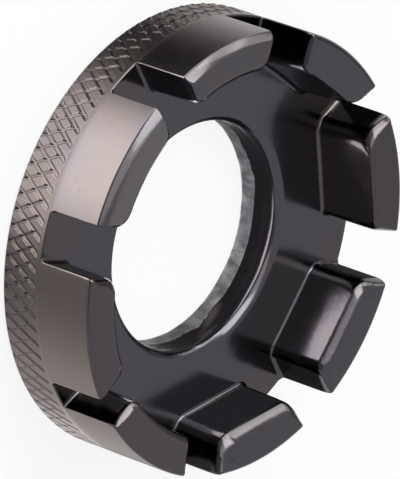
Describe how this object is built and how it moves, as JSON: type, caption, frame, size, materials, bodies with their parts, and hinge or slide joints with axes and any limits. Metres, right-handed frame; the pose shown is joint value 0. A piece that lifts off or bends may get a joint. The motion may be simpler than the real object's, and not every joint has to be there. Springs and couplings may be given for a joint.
{
  "type": "spoke wrench",
  "caption": "Round forged spoke wrench: a knurled rim and web plate with a punched centre hole, and a ring of upright lugs whose gaps are slots for nipples of graded widths.",
  "frame": {"origin": "centre of the flat back face, where the tool rests when it is laid down", "axes": "+Z along the axis of the centre hole, towards the tops of the lugs; +X along the middle of slot 1, the widest"},
  "size_m": [0.05, 0.05, 0.013],
  "materials": {
    "web_finish": "satin",
    "knurl_finish": "satin",
    "lug_finish": "gloss"
  },
  "bodies": {
    "root": {"web_plate": "web_finish", "knurled_rim": "knurl_finish", "lug_1": "lug_finish", "lug_2": "lug_finish", "lug_3": "lug_finish", "lug_4": "lug_finish", "lug_5": "lug_finish", "lug_6": "lug_finish", "lug_7": "lug_finish", "lug_8": "lug_finish"}
  },
  "joints": []
}
